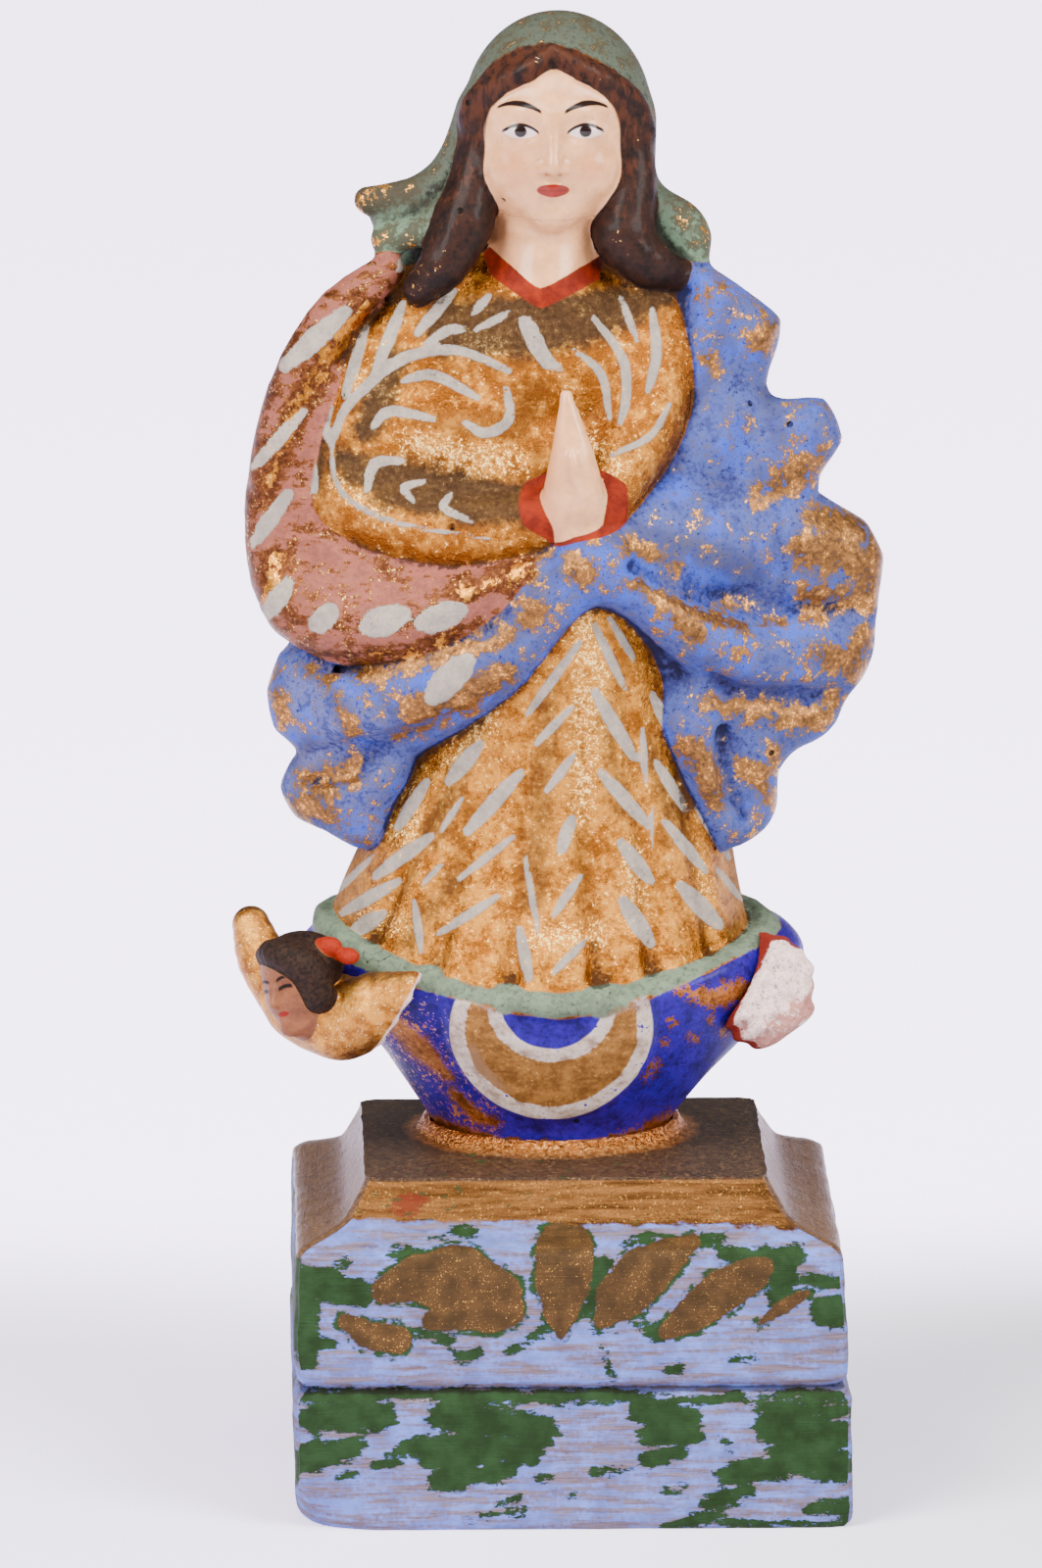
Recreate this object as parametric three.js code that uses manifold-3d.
// A small polychrome wooden Madonna: a praying figure in a veil and a wind-blown mantle, carved in one
// with the cloud and the globe that she stands on. The carving stands on a separate moulded plinth.
// A winged cherub's head is glued to the globe at its left, and at its right is the broken stump of
// a second one. Millimetres, +Z up, the front faces -Y, and the origin is the middle of the underside.
import * as THREE from "three";
import { mergeVertices } from "three/addons/utils/BufferGeometryUtils.js";
import Module from "manifold-3d";

const wasm = await Module();
wasm.setup();

// Driving dimensions
const plinthHeight = 32;
const platform = { halfWidth: 19.1, halfDepth: 16.5 }; // the flat top of the plinth
const plinthLean = -0.7; // the hand-cut block drifts to its left by this much at the top
const footPlace = new THREE.Vector3(-2.1, 4.1, 33); // where the carving's own origin stands
const foot = { halfWidth: 12.3, halfDepth: 10.5 };
const collar = { height: 0.7, spread: 1.2 }; // the low gilded ring round the foot
const glueGap = 0.4; // between a glued piece and the globe

// How finely each shape is sampled, and how many facets its skin keeps
const carvingGrain = { cell: 0.9, facets: 7300 };
const cherubGrain = { cell: 0.5, facets: 1000 };
const stumpGrain = { cell: 0.5, facets: 420 };

const smoothMin = (a, b, soft) => {
  const h = Math.max(soft - Math.abs(a - b), 0) / soft;
  return Math.min(a, b) - (h * h * soft) / 4;
};
const smoothMax = (a, b, soft) => -smoothMin(-a, -b, soft);

// Shapes are functions that give the distance from a point to the wood: negative inside, positive outside.
function ball([cx, cy, cz], [rx, ry, rz]) {
  return (x, y, z) => {
    const u = (x - cx) / rx;
    const v = (y - cy) / ry;
    const w = (z - cz) / rz;
    const near = Math.hypot(u, v, w);
    const slope = Math.hypot(u / rx, v / ry, w / rz);
    return slope > 1e-9 ? (near * (near - 1)) / slope : -Math.min(rx, ry, rz);
  };
}

// A fold, lock or limb: a round bar along a smooth curve, given as stations [x, y, z, radius].
function limb(stations, closed = false) {
  const stepsPerSpan = 3;
  const spans = closed ? stations.length : stations.length - 1;
  const spine = new THREE.CatmullRomCurve3(
    stations.map(([x, y, z]) => new THREE.Vector3(x, y, z)),
    closed,
    "catmullrom",
    0.5,
  );
  const radiusAt = (t) => {
    const span = Math.min(Math.floor(t * spans), spans - 1);
    const next = stations[(span + 1) % stations.length][3];
    return THREE.MathUtils.lerp(stations[span][3], next, t * spans - span);
  };
  const count = spans * stepsPerSpan;
  const bones = [];
  const room = new THREE.Box3();
  for (let i = 0; i < count; i++) {
    const a = spine.getPoint(i / count);
    const along = spine.getPoint((i + 1) / count).sub(a);
    const radius = radiusAt(i / count);
    bones.push({ a, along, squared: along.lengthSq(), radius, growth: radiusAt((i + 1) / count) - radius });
    room.union(new THREE.Box3().setFromPoints([a, spine.getPoint((i + 1) / count)]).expandByScalar(radius));
  }
  const middle = room.getCenter(new THREE.Vector3());
  const half = room.getSize(new THREE.Vector3()).multiplyScalar(0.5);
  const farEnough = 4; // beyond this distance the gap to the box round the limb will do
  return (x, y, z) => {
    const roomX = Math.max(Math.abs(x - middle.x) - half.x, 0);
    const roomY = Math.max(Math.abs(y - middle.y) - half.y, 0);
    const roomZ = Math.max(Math.abs(z - middle.z) - half.z, 0);
    const far = Math.hypot(roomX, roomY, roomZ);
    if (far > farEnough) return far;
    let nearest = Infinity;
    for (const { a, along, squared, radius, growth } of bones) {
      const dx = x - a.x;
      const dy = y - a.y;
      const dz = z - a.z;
      const h = THREE.MathUtils.clamp((dx * along.x + dy * along.y + dz * along.z) / squared, 0, 1);
      const gap = Math.hypot(dx - h * along.x, dy - h * along.y, dz - h * along.z);
      nearest = Math.min(nearest, gap - radius - h * growth);
    }
    return nearest;
  };
}

// The values of a station list [z, ...values] at a height, on a smooth curve.
function stationsAt(stations, z) {
  const last = stations.length - 1;
  if (z <= stations[0][0]) return stations[0].slice(1);
  if (z >= stations[last][0]) return stations[last].slice(1);
  const i = stations.findIndex((s) => s[0] > z) - 1;
  const slope = (k, v) => {
    const low = stations[Math.max(k - 1, 0)];
    const high = stations[Math.min(k + 1, last)];
    return (high[v] - low[v]) / (high[0] - low[0]);
  };
  const span = stations[i + 1][0] - stations[i][0];
  const t = (z - stations[i][0]) / span;
  const t2 = t * t;
  const t3 = t2 * t;
  return stations[i].slice(1).map((value, k) => {
    const v = k + 1;
    const rise = (2 * t3 - 3 * t2 + 1) * value + (3 * t2 - 2 * t3) * stations[i + 1][v];
    return rise + span * ((t3 - 2 * t2 + t) * slope(i, v) + (t3 - t2) * slope(i + 1, v));
  });
}

// An upright body of oval sections, given as stations [z, x, y, halfWidth, halfDepth].
function column(stations) {
  const low = stations[0][0];
  const high = stations[stations.length - 1][0];
  const step = 0.25;
  const table = [];
  for (let z = low; z < high + step; z += step) table.push(stationsAt(stations, z));
  return (x, y, z) => {
    const row = Math.round((z - low) / step);
    const [cx, cy, a, b] = table[THREE.MathUtils.clamp(row, 0, table.length - 1)];
    const u = (x - cx) / a;
    const v = (y - cy) / b;
    const near = Math.hypot(u, v);
    const slope = Math.hypot(u / a, v / b);
    const side = slope > 1e-9 ? (near * (near - 1)) / slope : -Math.min(a, b);
    return Math.max(side, low - z, z - high);
  };
}

const join = (soft, shapes) => (x, y, z) =>
  shapes.reduce((field, shape) => smoothMin(field, shape(x, y, z), soft), 1e3);

const cut = (soft, shape, cutters) => (x, y, z) =>
  cutters.reduce((field, cutter) => smoothMax(field, -cutter(x, y, z), soft), shape(x, y, z));

// The sculpture. Places are measured from the middle of the foot of the globe.
const skirtStations = [
  [13, -1.2, -1.6, 20.6, 14.8],
  [19, -1.2, -1.6, 20.2, 14.6],
  [24, -0.6, -1.8, 18.9, 13.0],
  [30, 0.2, -1.8, 17.0, 12.0],
  [38, 0.8, -1.8, 14.2, 11.4],
  [46, 1.6, -1.6, 11.6, 11.8],
  [57, 2.2, -1.4, 9.0, 11.8],
];
// Pleats of the skirt, as [x at the top, height of the top, x at the hem, half-width]
const pleatCuts = [
  [2.2, 46, 5.2, 1.5],
  [7.3, 46, 10.4, 1.3],
  [11.9, 39, 16.2, 1.1],
  [-1.5, 43, -4.2, 1.2],
  [-5.6, 38, -12.0, 1.2],
  [-10.2, 35, -18.0, 1.0],
];
const hemHeight = (x) => 16.8 + 5.6 * ((x + 1.3) / 20.5) ** 2;

function skirtFront(x, z) {
  const [cx, cy, a, b] = stationsAt(skirtStations, z);
  return cy - b * Math.sqrt(Math.max(1 - ((x - cx) / a) ** 2, 0.02));
}

function pleat([topX, topZ, hemX, size]) {
  const hem = hemHeight(hemX) - 1;
  const stations = [0, 0.35, 0.7, 1].map((t) => {
    const x = THREE.MathUtils.lerp(topX, hemX, t);
    const z = THREE.MathUtils.lerp(topZ, hem, t);
    return [x, skirtFront(x, z) - 0.35 * size, z, size * (0.35 + 0.65 * t)];
  });
  return limb(stations);
}

function praying(side) {
  return limb([
    [2.2 + side * 1.1, -13.0, 60.6, 2.2],
    [2.2 + side * 1.35, -14.0, 63.6, 2.2],
    [2.1 + side * 0.95, -14.3, 67.4, 1.6],
    [1.8 + side * 0.5, -14.2, 70.8, 0.95],
    [1.5 + side * 0.15, -13.9, 73.2, 0.5],
  ]);
}

const skin = join(1.0, [
  ball([0.35, -2.0, 96.6], [6.9, 6.9, 8.6]),
  ball([0.3, -3.7, 92.2], [5.3, 4.9, 4.5]),
  limb([[0, -1.4, 92, 4.0], [-0.1, -2.0, 86, 4.2], [-0.3, -3.2, 81, 4.6]]),
  limb([[0.3, -8.5, 97.6, 0.7], [0.3, -9.1, 95.3, 0.8], [0.3, -9.3, 93.9, 0.9]]),
  praying(-1),
  praying(1),
]);

const hair = cut(0.8, join(1.6, [
  ball([0.4, -1.4, 97.4], [7.9, 7.5, 8.6]),
  limb([[-6.4, -2.5, 98, 1.8], [-7.0, -4.0, 92.5, 2.2], [-8.2, -5.2, 87.6, 3.1], [-11.0, -6.0, 83.9, 2.3]]),
  limb([
    [7.6, -3.0, 98, 1.8],
    [8.0, -4.0, 92, 2.3],
    [7.2, -5.2, 87.2, 3.0],
    [9.4, -5.6, 84.6, 2.3],
    [12.0, -4.6, 83.2, 1.3],
  ]),
]), [ball([0.45, -10, 95.5], [6.7, 7.2, 9.0])]);

const veil = join(1.8, [
  cut(1.0, ball([1.1, 1.9, 97.4], [9.1, 8.1, 9.9]), [ball([0.6, -11.5, 95], [8.4, 8.2, 11.0])]),
  limb([[-5.6, 0, 97.5, 2.4], [-7.2, -0.6, 91.8, 2.7], [-8.4, 0.5, 86, 3.2]]),
  limb([[7.4, 0, 97, 2.6], [7.8, -0.4, 91, 2.6], [8.6, 0, 85, 3.4]]),
  limb([[0.8, 3.0, 95, 7.0], [0.2, 3.6, 88, 7.6], [-0.4, 4.0, 80, 8.4]]),
  // The turned-back lapels that stand out over each shoulder
  ball([-12.2, -0.6, 88.2], [4.4, 1.9, 3.0]),
  limb([[-8.0, 0, 92.3, 2.0], [-12.5, -1.6, 90.3, 1.5], [-16.9, -2.0, 89.9, 1.3]]),
  limb([[-7.6, -3.4, 90.3, 1.5], [-11.5, -4.0, 87.4, 1.4], [-15.3, -2.8, 86.2, 1.3]]),
  ball([11.6, -1.2, 86.4], [3.4, 2.0, 3.4]),
  limb([[8.6, -0.8, 90.2, 1.6], [12.0, -2.0, 88.0, 1.5], [13.8, -2.2, 86.0, 1.5], [13.4, -1.8, 83.2, 1.3]]),
]);

const dress = join(1.8, [
  ball([-1.0, -0.4, 73], [13.4, 9.0, 13.0]),
  // The arm at the picture's left: shoulder, elbow, forearm and the wide sleeve that hangs below it
  limb([[-9.0, -1.5, 80, 4.0], [-14.2, -3.4, 74, 5.2], [-16.6, -4.6, 67, 5.6]]),
  ball([-9.0, -5.0, 68.2], [8.0, 6.6, 5.0]),
  limb([[-17.2, -5.8, 62.4, 5.8], [-11.0, -8.6, 59.9, 4.5], [-5.0, -10.6, 60.0, 3.9], [-1.0, -12.0, 61.2, 3.0]]),
  // The arm at the picture's right
  limb([[8.6, -1.4, 79, 4.2], [9.0, -3.8, 72.4, 4.1], [7.0, -7.6, 66.4, 3.7], [5.2, -11.0, 62.6, 2.9]]),
]);

const skirtBody = column(skirtStations);
const skirt = cut(1.0, (x, y, z) => smoothMax(skirtBody(x, y, z), (hemHeight(x) - z) * 0.9, 0.6), pleatCuts.map(pleat));

// The mantle's pink lining, turned out in a thick band round the shoulder and under the forearm
const lining = limb([
  [-15.0, -3.6, 83.6, 1.6],
  [-19.4, -4.4, 79.8, 2.4],
  [-22.7, -4.6, 74.3, 2.9],
  [-24.6, -4.8, 68.0, 3.0],
  [-25.7, -5.0, 62.0, 2.9],
  [-25.2, -5.5, 56.4, 3.3],
  [-23.0, -7.2, 52.6, 3.7],
  [-18.6, -9.3, 51.8, 3.9],
  [-13.2, -11.2, 52.2, 3.7],
  [-7.4, -12.6, 54.0, 2.8],
  [-2.2, -13.8, 56.2, 1.7],
]);

const mantleBack = column([
  [28, -1.0, 2.6, 15.5, 8.0],
  [34, -0.6, 3.0, 19.5, 8.8],
  [42, 0.6, 3.2, 23.6, 9.4],
  [52, 1.0, 3.4, 26.4, 9.6],
  [60, -0.4, 3.4, 25.6, 9.6],
  [68, -1.8, 3.2, 23.4, 9.2],
  [75, -2.0, 3.0, 20.4, 8.6],
  [81, -1.4, 2.6, 16.4, 7.6],
  [86, -0.6, 2.4, 11.0, 6.4],
]);
// Shallow folds down the back, closer together towards the shoulders
function mantleWithFolds(x, y, z) {
  const wave = THREE.MathUtils.lerp(11.5, 6.5, THREE.MathUtils.clamp((z - 28) / 56, 0, 1));
  const depth = 0.55 * THREE.MathUtils.smoothstep(y, 2, 8) * THREE.MathUtils.smoothstep(88 - z, 0, 20);
  return mantleBack(x, y, z) + depth * Math.cos((2 * Math.PI * (x + 1.5)) / wave);
}

const mantle = cut(0.9, join(2.0, [
  mantleWithFolds,
  // The roll that crosses the body from the left hip to under the hands, and the fold below it
  limb([
    [-21.2, -3.6, 42.3, 4.3],
    [-17.4, -7.8, 43.3, 4.6],
    [-11.0, -10.6, 45.2, 4.4],
    [-5.0, -12.4, 48.7, 3.7],
    [-0.3, -13.6, 53.0, 2.6],
    [4.0, -14.2, 56.2, 1.9],
  ]),
  limb([[-21.4, -3.8, 32.6, 3.1], [-17.2, -7.2, 34.6, 3.2], [-12.8, -9.8, 37.4, 2.5], [-9.0, -11.3, 39.6, 1.7]]),
  limb([[-19.6, -3.8, 31.2, 2.4], [-17.2, -5.6, 28.6, 1.6]]),
  // The blown-out side: a lobe for each wave of its edge
  limb([[9.5, -1.6, 80.6, 3.0], [14.6, -2.0, 79.0, 2.5], [19.4, -2.0, 76.8, 2.0]]),
  limb([[12.5, -0.6, 76, 4.4], [15.6, -0.6, 71, 4.0]]),
  limb([[13.0, -2.6, 68, 3.8], [19.4, -2.4, 67.6, 3.0], [24.4, -2.0, 67.0, 2.8]]),
  limb([[15, -1.6, 62.6, 4.8], [21.6, -1.4, 62.0, 4.2]]),
  limb([[16.0, -4.0, 56.0, 5.2], [23.0, -3.2, 55.0, 4.7], [27.8, -2.0, 53.8, 4.2]]),
  limb([[18.0, -4.4, 47.6, 5.2], [26.3, -2.8, 45.6, 4.4]]),
  limb([[20.0, -3.2, 41.6, 4.0], [24.6, -2.4, 40.9, 3.4]]),
  limb([[17.4, -3.8, 36.0, 3.8], [17.8, -4.4, 31.2, 3.2], [16.6, -5.2, 28.6, 2.0]]),
  // Ridges that fan out from the wrist
  limb([[8.6, -9.8, 61.0, 2.2], [13.0, -8.2, 62.6, 2.3], [18.0, -5.6, 66.2, 2.2], [24.4, -3.0, 68.0, 1.9]]),
  limb([[7.6, -10.6, 59.0, 3.0], [14.0, -8.0, 57.4, 3.8], [20.5, -5.4, 58.0, 3.6]]),
  limb([
    [4.6, -13.8, 57.4, 1.9],
    [10.0, -12.4, 52.9, 2.5],
    [15.6, -10.4, 48.8, 3.1],
    [21.6, -7.2, 46.8, 3.3],
    [27.2, -3.8, 46.4, 3.0],
  ]),
  limb([[13.2, -9.6, 40.6, 2.2], [15.0, -8.6, 35.4, 2.3], [16.6, -7.0, 30.8, 1.9]]),
  limb([[19.4, -5.2, 36.6, 2.2], [19.6, -4.8, 32.4, 2.0]]),
]), [
  limb([[10.2, -8.4, 72.5, 1.0], [9.6, -10.2, 66.5, 2.0], [13.4, -9.2, 66.6, 2.0], [18.6, -6.4, 70.6, 1.2]]),
  limb([[14.4, -6.8, 76.0, 0.8], [18.0, -5.0, 73.2, 1.4], [21.8, -4.4, 72.2, 1.2]]),
  limb([[20.2, -7.6, 62.6, 0.9], [24.4, -6.2, 62.2, 1.3], [28.4, -5.4, 61.0, 1.0]]),
  limb([[9.0, -14.2, 56.9, 0.8], [14.0, -12.2, 53.6, 1.2], [18.8, -9.8, 51.4, 1.3], [25.0, -7.4, 50.8, 1.0]]),
  limb([[12.0, -12.6, 44.0, 0.8], [16.6, -10.6, 41.0, 1.3], [22.4, -7.6, 39.6, 1.4], [27.6, -4.6, 39.8, 0.9]]),
  limb([[16.6, -10.0, 38.6, 0.9], [18.0, -8.4, 34.0, 0.9]]),
]);

// The globe runs on below its foot, where a flat cut ends it.
const globe = column([
  [-2.5, 0.0, 0.0, foot.halfWidth, foot.halfDepth],
  [0.0, 0.0, 0.0, foot.halfWidth, foot.halfDepth],
  [2.0, 0.1, 0.0, 12.7, 10.8],
  [5.4, 0.7, 0.0, 15.0, 12.6],
  [8.5, 1.2, 0.0, 17.5, 14.3],
  [12.0, 0.8, 0.0, 21.0, 16.0],
  [16.4, 0.4, 0.0, 24.2, 17.3],
  [19.4, 0.4, 0.0, 22.6, 16.4],
  [21.4, 0.0, 0.0, 18.5, 13.0],
]);

// The pale band of cloud under the hem
const cloud = limb([
  [-0.2, -15.6, 15.6, 1.5],
  [-12.0, -12.8, 17.4, 1.5],
  [-19.6, -7.6, 19.0, 1.6],
  [-21.4, 0.0, 20.6, 1.7],
  [-15.0, 9.0, 20.0, 1.7],
  [0.0, 14.0, 18.6, 1.6],
  [15.0, 9.0, 20.0, 1.7],
  [21.0, 0.0, 20.2, 1.7],
  [19.2, -7.6, 18.8, 1.6],
  [11.6, -13.0, 16.8, 1.5],
], true);

// The crescent moon is a shallow relief on the front of the globe.
const moon = { x: 0, z: 13.4, outer: 9.4, innerZ: 15.8, inner: 5.6, relief: 0.35 };
function crescent(x, y, z) {
  const disc = Math.hypot(x - moon.x, z - moon.z) - moon.outer;
  const hollow = moon.inner - Math.hypot(x - moon.x, z - moon.innerZ);
  return Math.max(disc, hollow, globe(x, y, z) - moon.relief, y);
}

// Solid wood inside all the drapery
const core = column([
  [12, 0.0, 0.0, 14.0, 9.0],
  [40, 0.0, 0.0, 12.0, 8.0],
  [60, 0.0, 0.0, 12.0, 8.0],
  [80, 0.0, 0.0, 6.0, 5.0],
]);

const drapery = join(2.0, [dress, skirt, lining, mantle, core]);
const carving = join(0.9, [join(1.6, [drapery, hair, veil, globe]), skin, cloud, crescent]);

// The way straight out of a shape at a point, and how steeply the distance grows there
function outward(field, p) {
  const h = 0.1;
  const slope = new THREE.Vector3(
    field(p.x + h, p.y, p.z) - field(p.x - h, p.y, p.z),
    field(p.x, p.y + h, p.z) - field(p.x, p.y - h, p.z),
    field(p.x, p.y, p.z + h) - field(p.x, p.y, p.z - h),
  ).divideScalar(2 * h);
  const steepness = Math.max(slope.length(), 0.3);
  return { normal: slope.normalize(), steepness };
}

// The distance at every corner of a grid. Blocks that lie well off the surface are filled at once.
function sampled(field, low, counts, cell) {
  const [nx, ny, nz] = counts;
  const values = new Float32Array(nx * ny * nz);
  const block = 4;
  const offSurface = block * cell * 1.1;
  const at = (i, j, k) => field(low.x + i * cell, low.y + j * cell, low.z + k * cell);
  for (let k = 0; k < nz; k += block) {
    for (let j = 0; j < ny; j += block) {
      for (let i = 0; i < nx; i += block) {
        const half = (block - 1) / 2;
        const middle = at(i + half, j + half, k + half);
        const skip = Math.abs(middle) > offSurface;
        for (let c = k; c < Math.min(k + block, nz); c++) {
          for (let b = j; b < Math.min(j + block, ny); b++) {
            for (let a = i; a < Math.min(i + block, nx); a++) {
              values[a + nx * (b + ny * c)] = skip ? middle : at(a, b, c);
            }
          }
        }
      }
    }
  }
  return values;
}

// Whether the corners of a grid cell that are wood, and those that are not, each hang together
const cornersOfCell = [0, 1, 2, 3, 4, 5, 6, 7];
const isSimple = Array.from({ length: 256 }, (_, wood) =>
  [wood, 255 - wood].every((set) => {
    const members = cornersOfCell.filter((c) => (set >> c) & 1);
    const reached = new Set(members.slice(0, 1));
    for (const from of reached) {
      for (const step of [1, 2, 4]) if (members.includes(from ^ step)) reached.add(from ^ step);
    }
    return reached.size === members.length;
  }),
);

// Fills the pinched spots where the surface would touch itself.
function fillPinches(values, counts) {
  const [nx, ny, nz] = counts;
  const cornerStep = cornersOfCell.map((c) => (c & 1) + nx * (((c >> 1) & 1) + ny * (c >> 2)));
  let filled = true;
  while (filled) {
    filled = false;
    for (let k = 0; k + 1 < nz; k++) {
      for (let j = 0; j + 1 < ny; j++) {
        for (let i = 0; i + 1 < nx; i++) {
          const corner = i + nx * (j + ny * k);
          const around = cornerStep.map((step) => corner + step);
          const wood = () => around.reduce((set, place, c) => set | ((values[place] <= 0) << c), 0);
          while (!isSimple[wood()]) {
            const open = around.filter((place) => values[place] > 0);
            const slightest = open.reduce((best, place) => (values[place] < values[best] ? place : best));
            values[slightest] = -0.01;
            filled = true;
          }
        }
      }
    }
  }
}

// The skin of a shape: a point in each cell of a grid that the surface passes through, and two
// facets across each grid edge that it cuts.
function skinOf(field, room, cell) {
  const low = room.min;
  const counts = room.getSize(new THREE.Vector3()).divideScalar(cell).ceil().addScalar(1).toArray();
  const values = sampled(field, low, counts, cell);
  fillPinches(values, counts);
  const strides = [1, counts[0], counts[0] * counts[1]];
  const pointIn = new Int32Array(values.length).fill(-1);
  const points = [];
  const cells = [];
  for (let k = 0; k + 1 < counts[2]; k++) {
    for (let j = 0; j + 1 < counts[1]; j++) {
      for (let i = 0; i + 1 < counts[0]; i++) {
        const corner = i * strides[0] + j * strides[1] + k * strides[2];
        const sum = new THREE.Vector3();
        let crossings = 0;
        for (let axis = 0; axis < 3; axis++) {
          const [u, v] = [(axis + 1) % 3, (axis + 2) % 3];
          for (const [du, dv] of [[0, 0], [1, 0], [0, 1], [1, 1]]) {
            const start = corner + du * strides[u] + dv * strides[v];
            const from = values[start];
            const to = values[start + strides[axis]];
            if (from > 0 === to > 0) continue;
            const spot = [0, 0, 0];
            spot[axis] = from / (from - to);
            spot[u] = du;
            spot[v] = dv;
            sum.add(new THREE.Vector3(...spot));
            crossings++;
          }
        }
        if (!crossings) continue;
        const p = sum.divideScalar(crossings).add(new THREE.Vector3(i, j, k)).multiplyScalar(cell).add(low);
        for (let pass = 0; pass < 2; pass++) {
          const { normal, steepness } = outward(field, p);
          const gap = field(p.x, p.y, p.z) / steepness;
          p.addScaledVector(normal, -THREE.MathUtils.clamp(gap, -cell / 3, cell / 3));
        }
        pointIn[corner] = points.length;
        points.push(p);
        cells.push([i, j, k]);
      }
    }
  }
  const facets = [];
  for (const [i, j, k] of cells) {
    const corner = i * strides[0] + j * strides[1] + k * strides[2];
    for (let axis = 0; axis < 3; axis++) {
      const [u, v] = [(axis + 1) % 3, (axis + 2) % 3];
      const from = values[corner];
      const to = values[corner + strides[axis]];
      if (from > 0 === to > 0) continue;
      const around = [0, strides[u], strides[u] + strides[v], strides[v]].map((back) => pointIn[corner - back]);
      if (from > 0) around.reverse();
      const [a, b, c, d] = around;
      facets.push([a, b, c], [a, c, d]);
    }
  }
  return { points, facets };
}

// Only the outside of a skin, without the closed pockets that are left between folds
function outermost({ points, facets }) {
  const leader = points.map((_, v) => v);
  const leaderOf = (v) => {
    while (leader[v] !== v) v = leader[v] = leader[leader[v]];
    return v;
  };
  for (const [a, b, c] of facets) {
    leader[leaderOf(a)] = leaderOf(b);
    leader[leaderOf(b)] = leaderOf(c);
  }
  const top = points.reduce((highest, p, v) => (p.z > points[highest].z ? v : highest), 0);
  return { points, facets: facets.filter(([a]) => leaderOf(a) === leaderOf(top)) };
}

// The sum of squared distances to the planes of a point's facets, as the ten numbers of its matrix
function planeSum(n, offset, weight) {
  return [
    n.x * n.x, n.x * n.y, n.x * n.z, n.x * offset, n.y * n.y,
    n.y * n.z, n.y * offset, n.z * n.z, n.z * offset, offset * offset,
  ].map((value) => value * weight);
}
const squaredGap = (q, { x, y, z }) =>
  q[0] * x * x + 2 * q[1] * x * y + 2 * q[2] * x * z + 2 * q[3] * x + q[4] * y * y
  + 2 * q[5] * y * z + 2 * q[6] * y + q[7] * z * z + 2 * q[8] * z + q[9];

// Merges neighbouring points of a skin, those that show least first, until few enough facets are left.
// `worth` says how much a place counts, so that the face and hands keep more of their facets.
function thinned({ points, facets }, target, worth) {
  const share = 0.12; // of the edges that may go in one pass
  const evenness = 0.004; // how strongly long edges are kept out
  const normalOf = (a, b, c) => b.clone().sub(a).cross(c.clone().sub(a));
  const sums = points.map(() => new Array(10).fill(0));
  for (const facet of facets) {
    const [a, b, c] = facet.map((v) => points[v]);
    const normal = normalOf(a, b, c);
    const area = normal.length() / 2;
    normal.normalize();
    const plane = planeSum(normal, -normal.dot(a), area * worth(a));
    facet.forEach((v) => plane.forEach((value, i) => (sums[v][i] += value)));
  }
  let left = facets;
  while (left.length > target) {
    const around = new Map();
    left.forEach((facet, f) => facet.forEach((v) => around.set(v, [...(around.get(v) ?? []), f])));
    const neighbours = (v) => new Set(around.get(v).flatMap((f) => left[f]).filter((w) => w !== v));
    const edges = [];
    for (const [a, b, c] of left) {
      for (const [v, w] of [[a, b], [b, c], [c, a]]) {
        if (v > w) continue;
        const sum = sums[v].map((value, i) => value + sums[w][i]);
        const places = [points[v], points[w], points[v].clone().lerp(points[w], 0.5)];
        const costs = places.map((place) => squaredGap(sum, place));
        const best = costs.indexOf(Math.min(...costs));
        const length = points[v].distanceToSquared(points[w]);
        edges.push({ v, w, sum, place: places[best], cost: costs[best] + evenness * length * worth(points[v]) });
      }
    }
    edges.sort((one, other) => one.cost - other.cost);
    const touched = new Set();
    const merged = new Map();
    const limit = Math.min(share * edges.length, (left.length - target) / 2 + 1);
    for (const { v, w, sum, place } of edges) {
      if (merged.size >= limit) break;
      const near = neighbours(v);
      const others = neighbours(w);
      if ([...near, ...others].some((p) => touched.has(p))) continue;
      if ([...near].filter((p) => others.has(p)).length !== 2) continue;
      const flips = [...around.get(v), ...around.get(w)].some((f) => {
        const facet = left[f];
        if (facet.includes(v) && facet.includes(w)) return false;
        const before = normalOf(...facet.map((p) => points[p])).normalize();
        const after = normalOf(...facet.map((p) => (p === v || p === w ? place : points[p]))).normalize();
        return before.dot(after) < 0.35;
      });
      if (flips) continue;
      near.forEach((p) => touched.add(p));
      others.forEach((p) => touched.add(p));
      points[v] = place;
      sums[v] = sum;
      merged.set(w, v);
    }
    if (!merged.size) break;
    left = left
      .map((facet) => facet.map((p) => merged.get(p) ?? p))
      .filter(([a, b, c]) => a !== b && b !== c && c !== a);
  }
  const used = [...new Set(left.flat())];
  const place = new Map(used.map((v, i) => [v, i]));
  const geometry = new THREE.BufferGeometry().setFromPoints(used.map((v) => points[v]));
  geometry.setIndex(left.flatMap((facet) => facet.map((v) => place.get(v))));
  geometry.computeVertexNormals();
  return geometry;
}

function carvingGeometry() {
  const room = new THREE.Box3(new THREE.Vector3(-33, -21, -3.1), new THREE.Vector3(34, 18, 110));
  const worth = (p) => (p.z > 86 || Math.hypot(p.x - 2, p.y + 14, (p.z - 66) / 3) < 3.5 ? 5 : 1);
  const skin = thinned(outermost(skinOf(carving, room, carvingGrain.cell)), carvingGrain.facets, worth);
  const underFoot = new THREE.BoxGeometry(60, 60, 10).translate(0, 0, -5);
  return geometryOf(solidOf(skin).subtract(solidOf(underFoot)));
}

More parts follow.
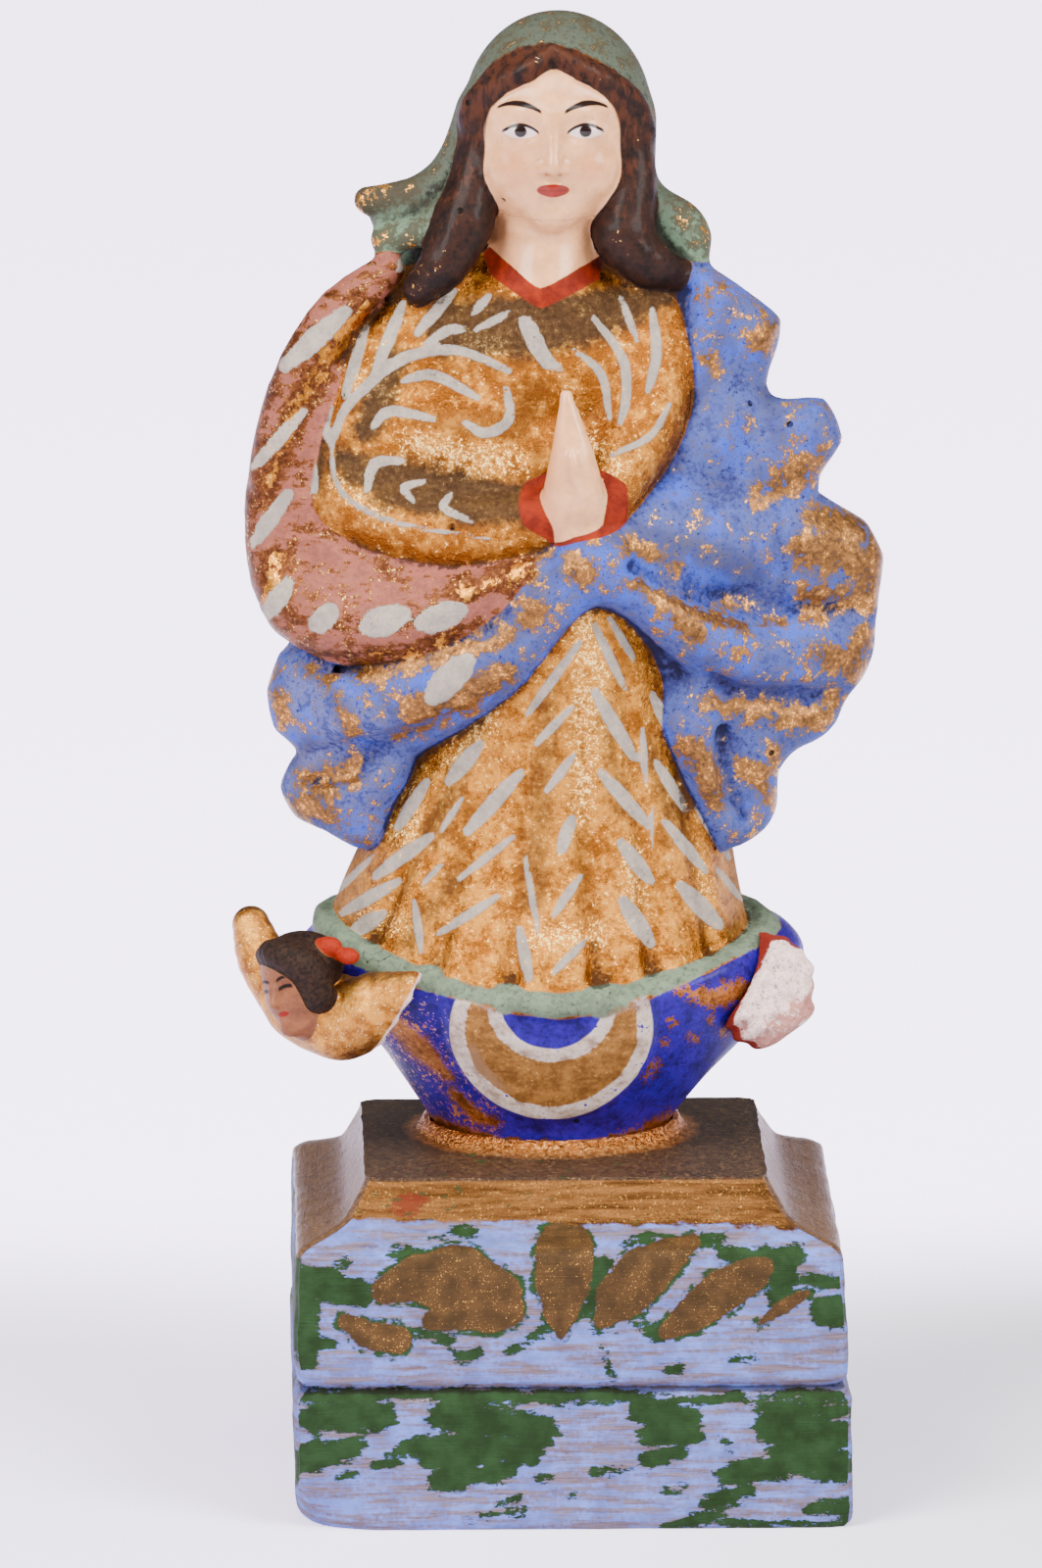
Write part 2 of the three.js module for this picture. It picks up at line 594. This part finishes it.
// A glued piece's shape, in its own turned frame, with its back cut to the globe
function againstCarving(shape, place, turn) {
  const cos = Math.cos(turn);
  const sin = Math.sin(turn);
  return (x, y, z) => {
    const bodyX = place.x + x * cos - y * sin;
    const bodyY = place.y + x * sin + y * cos;
    return Math.max(shape(x, y, z), glueGap - carving(bodyX, bodyY, place.z + z));
  };
}

const cherub = {
  grain: cherubGrain,
  place: new THREE.Vector3(-21.6, -11.4, 15.6),
  turn: THREE.MathUtils.degToRad(-30),
  shape: join(1.0, [
    ball([-1.0, -1.8, 1.2], [3.5, 3.2, 4.3]), // face
    ball([0.2, -0.8, 3.2], [4.3, 3.4, 2.9]), // hair
    limb([[-2.6, 0.2, -1.6, 2.8], [-6.2, 0.6, 2.0, 2.2], [-8.9, 1.2, 5.2, 1.0]]), // wings
    limb([[2.6, 0.6, -2.2, 3.4], [6.4, 0.4, 0.4, 2.4], [9.6, 0.0, 2.2, 1.0]]),
    ball([1.6, 1.6, -2.0], [6.4, 4.4, 3.8]), // the block behind them
  ]),
};

const stump = {
  grain: stumpGrain,
  place: new THREE.Vector3(20.8, -10.4, 15.2),
  turn: THREE.MathUtils.degToRad(22),
  shape: cut(0.4, ball([0, 1.0, 0], [4.9, 4.6, 5.5]), [
    (x, y, z) => (y + 2.2 + 0.16 * x - 0.1 * z) * 0.95, // the broken face
    (x, y, z) => 4.2 + x - 0.55 * z - 1.6,
    (x, y, z) => 6.1 - x - 0.6 * z - 0.4,
  ]),
};

function gluedPiece(name, { place, turn, shape, grain }, material) {
  const room = new THREE.Box3().setFromCenterAndSize(new THREE.Vector3(), new THREE.Vector3(26, 18, 22));
  const lump = outermost(skinOf(againstCarving(shape, place, turn), room, grain.cell));
  const mesh = new THREE.Mesh(thinned(lump, grain.facets, () => 1), material);
  mesh.name = name;
  mesh.position.copy(place);
  mesh.rotation.z = turn;
  return mesh;
}

// The plinth: a moulding run round a block, with the low ring that the foot stands in.
// Stations [height, distance that the moulding stands out beyond the platform]
const moulding = [
  [0.0, 6.7],
  [0.7, 7.3],
  [11.9, 7.3],
  [12.8, 6.7],
  [13.5, 6.1],
  [14.3, 6.6],
  [17.0, 6.9],
  [20.5, 6.8],
  [23.5, 6.5],
  [25.6, 6.0],
  [27.0, 5.2],
  [28.0, 4.0],
  [29.2, 2.3],
  [30.6, 1.0],
  [plinthHeight, 0.0],
];

// A closed mesh as a solid that can be joined and cut
function solidOf(geometry) {
  const bare = geometry.clone();
  bare.deleteAttribute("normal");
  bare.deleteAttribute("uv");
  const merged = mergeVertices(bare, 1e-4);
  return new wasm.Manifold(new wasm.Mesh({
    numProp: 3,
    vertProperties: new Float32Array(merged.attributes.position.array),
    triVerts: new Uint32Array(merged.index.array),
  }));
}

function geometryOf(solid) {
  const { vertProperties, triVerts, numProp } = solid.getMesh();
  const geometry = new THREE.BufferGeometry();
  const corners = Array.from({ length: vertProperties.length / numProp }, (_, v) => v * numProp);
  const position = corners.flatMap((first) => [...vertProperties.subarray(first, first + 3)]);
  geometry.setAttribute("position", new THREE.Float32BufferAttribute(position, 3));
  geometry.setIndex(new THREE.BufferAttribute(triVerts, 1));
  geometry.computeVertexNormals();
  return geometry;
}

function plinthGeometry() {
  // Four lathe segments make a square moulding of unit half-width, and each ring is then set to its size.
  const profile = [
    new THREE.Vector2(0, 0),
    ...moulding.map(([z]) => new THREE.Vector2(Math.SQRT2, z)),
    new THREE.Vector2(0, plinthHeight),
  ];
  const block = new THREE.LatheGeometry(profile, 4, Math.PI / 4).rotateX(Math.PI / 2);
  const position = block.getAttribute("position");
  for (let i = 0; i < position.count; i++) {
    const z = position.getZ(i);
    const [, out] = moulding.reduce((best, s) => (Math.abs(s[0] - z) < Math.abs(best[0] - z) ? s : best));
    const lean = (plinthLean * z) / plinthHeight;
    position.setX(i, position.getX(i) * (platform.halfWidth + out) + lean);
    position.setY(i, position.getY(i) * (platform.halfDepth + out));
  }

  const ringProfile = [
    [0, -1],
    [1 + collar.spread / foot.halfWidth, -1],
    [1 + collar.spread / foot.halfWidth, 0.1],
    [1 + (0.6 * collar.spread) / foot.halfWidth, collar.height],
    [0, collar.height],
  ].map(([r, z]) => new THREE.Vector2(r, plinthHeight + z));
  const ring = new THREE.LatheGeometry(ringProfile, 40)
    .rotateX(Math.PI / 2)
    .scale(foot.halfWidth, foot.halfDepth, 1)
    .translate(footPlace.x, footPlace.y, 0);

  // The front left corner is worn off at the bottom.
  const wornEdge = new THREE.BoxGeometry(6, 6, 12)
    .rotateY(THREE.MathUtils.degToRad(-22))
    .rotateZ(THREE.MathUtils.degToRad(35))
    .translate(-platform.halfWidth - 9.0, -platform.halfDepth - 8.4, 0.5);
  return geometryOf(solidOf(block).subtract(solidOf(wornEdge)).add(solidOf(ring)));
}

const gilded = new THREE.MeshStandardMaterial({ color: 0xc08a45, roughness: 0.38, metalness: 0.6 });
const paintedBlock = new THREE.MeshStandardMaterial({ color: 0x8fa0c8, roughness: 0.8, metalness: 0 });
const gesso = new THREE.MeshStandardMaterial({ color: 0xe6d3cf, roughness: 0.9, metalness: 0 });
const polychrome = new THREE.MeshStandardMaterial({ color: 0x8296c4, roughness: 0.55, metalness: 0.1 });

const madonna = new THREE.Mesh(carvingGeometry(), polychrome);
madonna.name = "madonna";

const carved = new THREE.Group();
carved.position.copy(footPlace);
carved.add(madonna, gluedPiece("cherub", cherub, gilded), gluedPiece("cherub_stump", stump, gesso));

const plinth = new THREE.Mesh(plinthGeometry(), paintedBlock);
plinth.name = "plinth";

const statuette = new THREE.Group();
statuette.add(plinth, carved);

export default statuette;
